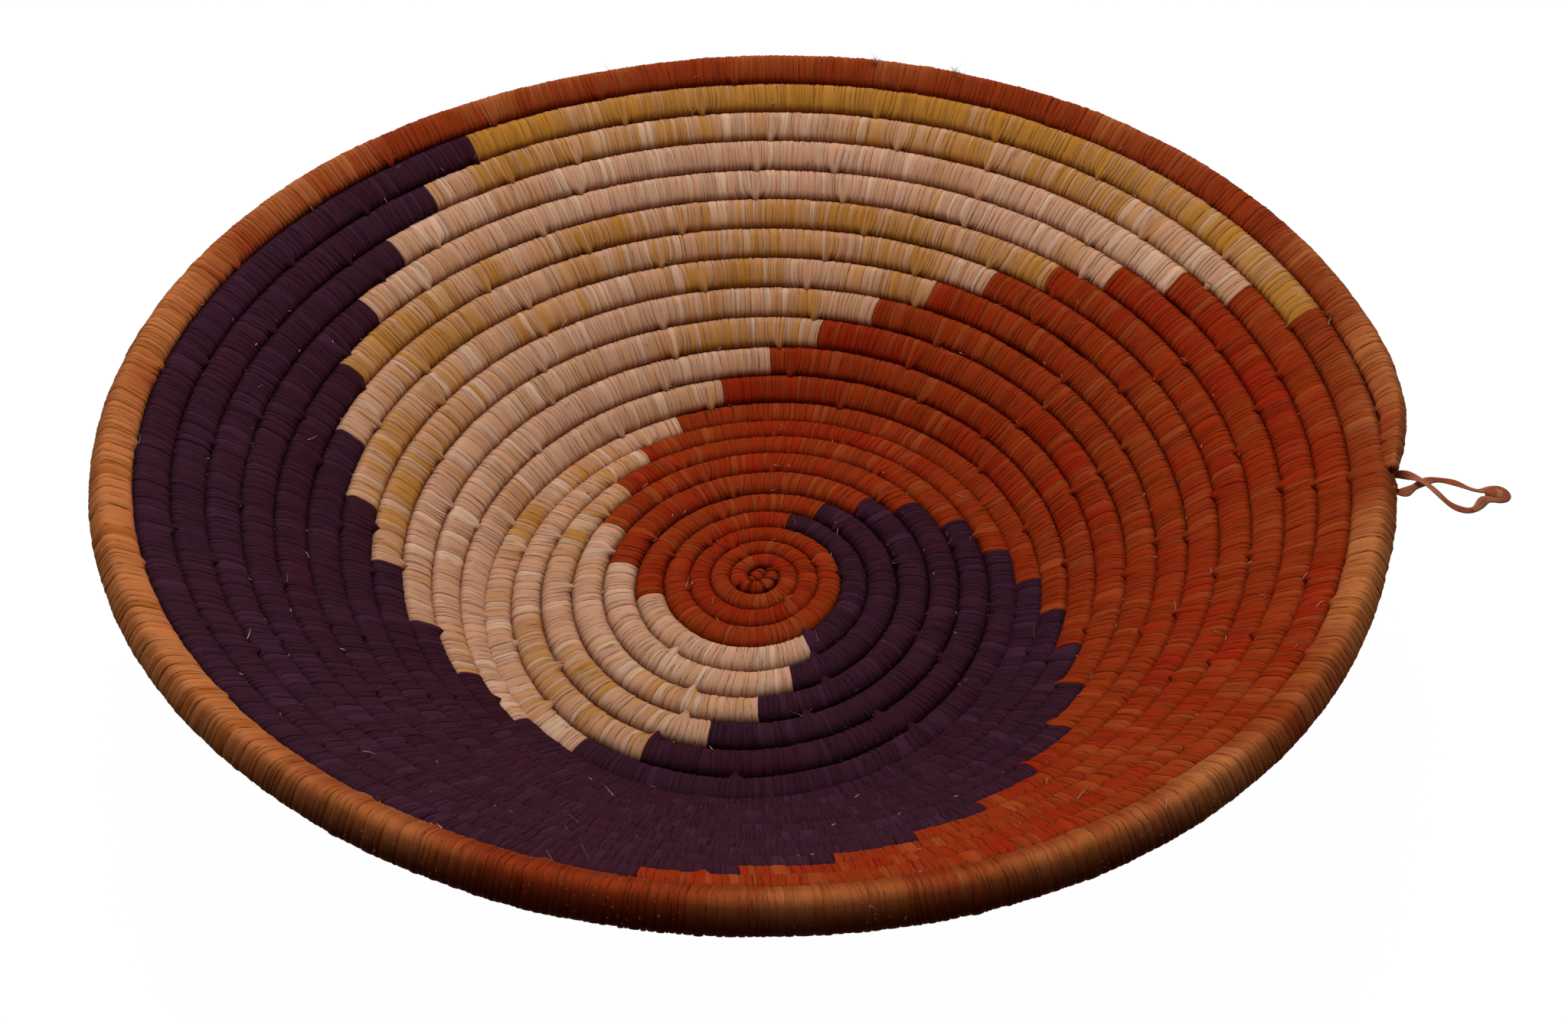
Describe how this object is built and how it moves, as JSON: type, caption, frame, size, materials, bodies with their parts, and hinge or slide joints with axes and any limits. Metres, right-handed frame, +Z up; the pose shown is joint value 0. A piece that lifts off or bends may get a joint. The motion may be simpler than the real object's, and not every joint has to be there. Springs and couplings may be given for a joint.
{
  "type": "basket bowl",
  "caption": "Round coiled basket bowl wrapped in dyed raffia with a swirl pattern, with sloping sides, a flat base and a small hanging loop at its rim.",
  "frame": {"origin": "on the table, under the middle of the bowl's outline; the hanging loop isn't counted in that outline", "axes": "+Z up out of the bowl's mouth; the loop at the rim's end points 14 degrees from +X towards -Y; +Y is the far side in the picture"},
  "size_m": [0.3146, 0.2978, 0.073],
  "materials": {
    "orange_raffia": "satin",
    "natural_raffia": "satin",
    "purple_raffia": "satin",
    "rim_raffia": "satin",
    "loop_raffia": "satin",
    "grass_core": "matte"
  },
  "bodies": {
    "bowl": {"grass_core": "grass_core", "orange_rim_wrap": "rim_raffia", "natural_wrap_01": "natural_raffia", "purple_wrap_01": "purple_raffia", "orange_wrap_01": "orange_raffia", "natural_wrap_02": "natural_raffia", "purple_wrap_02": "purple_raffia", "orange_wrap_02": "orange_raffia", "natural_wrap_03": "natural_raffia", "purple_wrap_03": "purple_raffia", "orange_wrap_03": "orange_raffia", "natural_wrap_04": "natural_raffia", "purple_wrap_04": "purple_raffia", "orange_wrap_04": "orange_raffia", "natural_wrap_05": "natural_raffia", "purple_wrap_05": "purple_raffia", "orange_wrap_05": "orange_raffia", "natural_wrap_06": "natural_raffia", "purple_wrap_06": "purple_raffia", "orange_wrap_06": "orange_raffia", "natural_wrap_07": "natural_raffia", "purple_wrap_07": "purple_raffia", "orange_wrap_07": "orange_raffia", "natural_wrap_08": "natural_raffia", "purple_wrap_08": "purple_raffia", "orange_wrap_08": "orange_raffia", "natural_wrap_09": "natural_raffia", "purple_wrap_09": "purple_raffia", "orange_wrap_09": "orange_raffia", "natural_wrap_10": "natural_raffia", "purple_wrap_10": "purple_raffia", "orange_wrap_10": "orange_raffia", "natural_wrap_11": "natural_raffia", "purple_wrap_11": "purple_raffia", "orange_wrap_11": "orange_raffia", "natural_wrap_12": "natural_raffia", "purple_wrap_12": "purple_raffia", "orange_wrap_12": "orange_raffia", "natural_wrap_13": "natural_raffia", "purple_wrap_13": "purple_raffia", "orange_wrap_13": "orange_raffia", "natural_wrap_14": "natural_raffia", "purple_wrap_14": "purple_raffia", "orange_wrap_14": "orange_raffia", "natural_wrap_15": "natural_raffia", "purple_wrap_15": "purple_raffia", "orange_wrap_15": "orange_raffia", "natural_wrap_16": "natural_raffia", "purple_wrap_16": "purple_raffia", "orange_wrap_16": "orange_raffia", "natural_wrap_17": "natural_raffia", "purple_wrap_17": "purple_raffia", "orange_centre_wrap": "orange_raffia"},
    "hanging_loop": {"loop_far_strand": "loop_raffia", "loop_near_strand": "loop_raffia", "loop_knot": "loop_raffia"}
  },
  "joints": [
    {"name": "loop_swing", "type": "hinge", "parent": "bowl", "child": "hanging_loop", "pos_m": [0.1416, -0.03559, 0.06569], "axis": [0.2402, 0.9707, 0], "range_deg": [-80, 70]}
  ]
}
